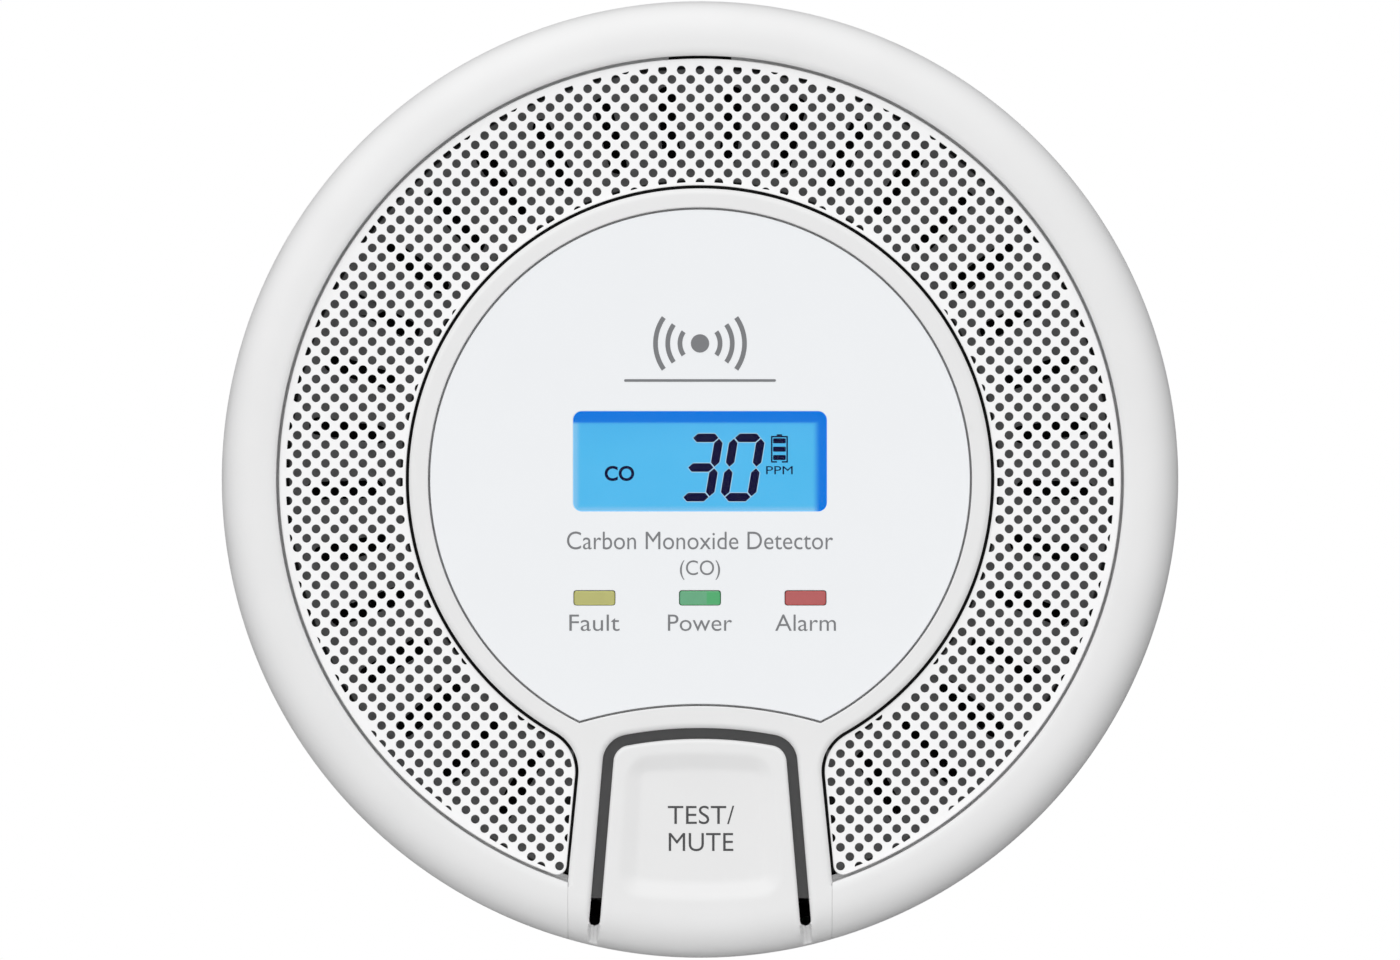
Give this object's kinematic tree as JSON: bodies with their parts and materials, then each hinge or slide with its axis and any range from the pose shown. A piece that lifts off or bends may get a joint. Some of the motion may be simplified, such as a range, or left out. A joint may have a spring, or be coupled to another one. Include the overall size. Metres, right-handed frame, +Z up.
{
  "type": "carbon monoxide detector",
  "caption": "Round battery-powered carbon monoxide detector with a perforated grille, backlit display, status lights, hinged test button and twist-off wall bracket.",
  "frame": {"origin": "centre of the wall bracket's back face, on the wall plane and on the case's axis", "axes": "+Y into the wall, so the face looks along -Y; +Z up as it hangs; +X to the right as seen from the front"},
  "size_m": [0.11, 0.035, 0.11],
  "materials": {
    "case_white": "fine moulded satin, warm white",
    "bracket_white": "moulded, plain",
    "grille_white": "satin white paint on perforated sheet",
    "label_white": "smooth printed film",
    "dark_grey_plastic": "fine moulded texture",
    "black_plastic": "moulded",
    "window_clear": "polished clear window",
    "lcd_blue": "backlit display, blue with navy segments",
    "diffuser": "frosted",
    "black_rubber": "matt",
    "lens_yellow": "tinted light pipe",
    "lens_green": "tinted light pipe",
    "lens_red": "tinted light pipe",
    "led_package": "moulded package",
    "circuit_board": "solder mask with copper and silkscreen",
    "steel": "nickel plated",
    "brass": "bare",
    "wire_red": "smooth sleeve",
    "capacitor_sleeve": "shrink sleeve",
    "ferrite": "sintered, wound with copper",
    "battery_wrap": "shrink sleeve",
    "plunger_grey": "moulded"
  },
  "bodies": {
    "bracket": {"mounting_bracket": "bracket_white"},
    "alarm": {"rear_housing": "case_white", "front_ring": "case_white", "bezel_frame": "case_white", "grille": "grille_white", "inner_cover": "dark_grey_plastic", "label_panel": "label_white", "lcd_window": "window_clear", "lcd_glass": "lcd_blue", "lcd_backlight": "diffuser", "lcd_holder": "bracket_white", "lcd_zebra_strip": "black_rubber", "led_lens_fault": "lens_yellow", "led_fault": "led_package", "led_lens_power": "lens_green", "led_power": "led_package", "led_lens_alarm": "lens_red", "led_alarm": "led_package", "main_pcb": "circuit_board", "microcontroller": "black_plastic", "co_sensor": "steel", "co_sensor_cap": "black_plastic", "buzzer_housing": "black_plastic", "piezo_disc": "brass", "buzzer_back_cap": "black_plastic", "buzzer_wire_red": "wire_red", "buzzer_wire_black": "black_rubber", "capacitor_large": "capacitor_sleeve", "capacitor_small": "capacitor_sleeve", "boost_inductor": "ferrite", "switch_body": "black_plastic", "battery": "battery_wrap", "battery_contact": "steel", "battery_spring": "steel", "housing_screw_1": "steel", "housing_screw_2": "steel", "housing_screw_3": "steel"},
    "button": {"test_button": "case_white"},
    "plunger": {"switch_plunger": "plunger_grey"},
    "door": {"battery_door": "case_white"}
  },
  "joints": [
    {"name": "twist_lock", "type": "hinge", "parent": "bracket", "child": "alarm", "pos_m": [0, 0, 0], "axis": [0, -1, 0], "range_deg": [0, 18]},
    {"name": "button_press", "type": "hinge", "parent": "alarm", "child": "button", "pos_m": [0, -0.033, -0.0505], "axis": [-1, 0, 0], "range_deg": [0, 2], "stiffness_Nm_per_rad": 1},
    {"name": "plunger_travel", "type": "slide", "parent": "alarm", "child": "plunger", "axis": [0, 1, 0], "range_m": [0, 0.0006]},
    {"name": "battery_door_hinge", "type": "hinge", "parent": "alarm", "child": "door", "pos_m": [0, -0.0047, -0.011], "axis": [-1, 0, 0], "range_deg": [0, 100]}
  ],
  "couplings": [
    {"joint": "plunger_travel", "follows": "button_press", "m_per_rad": 0.0145}
  ]
}
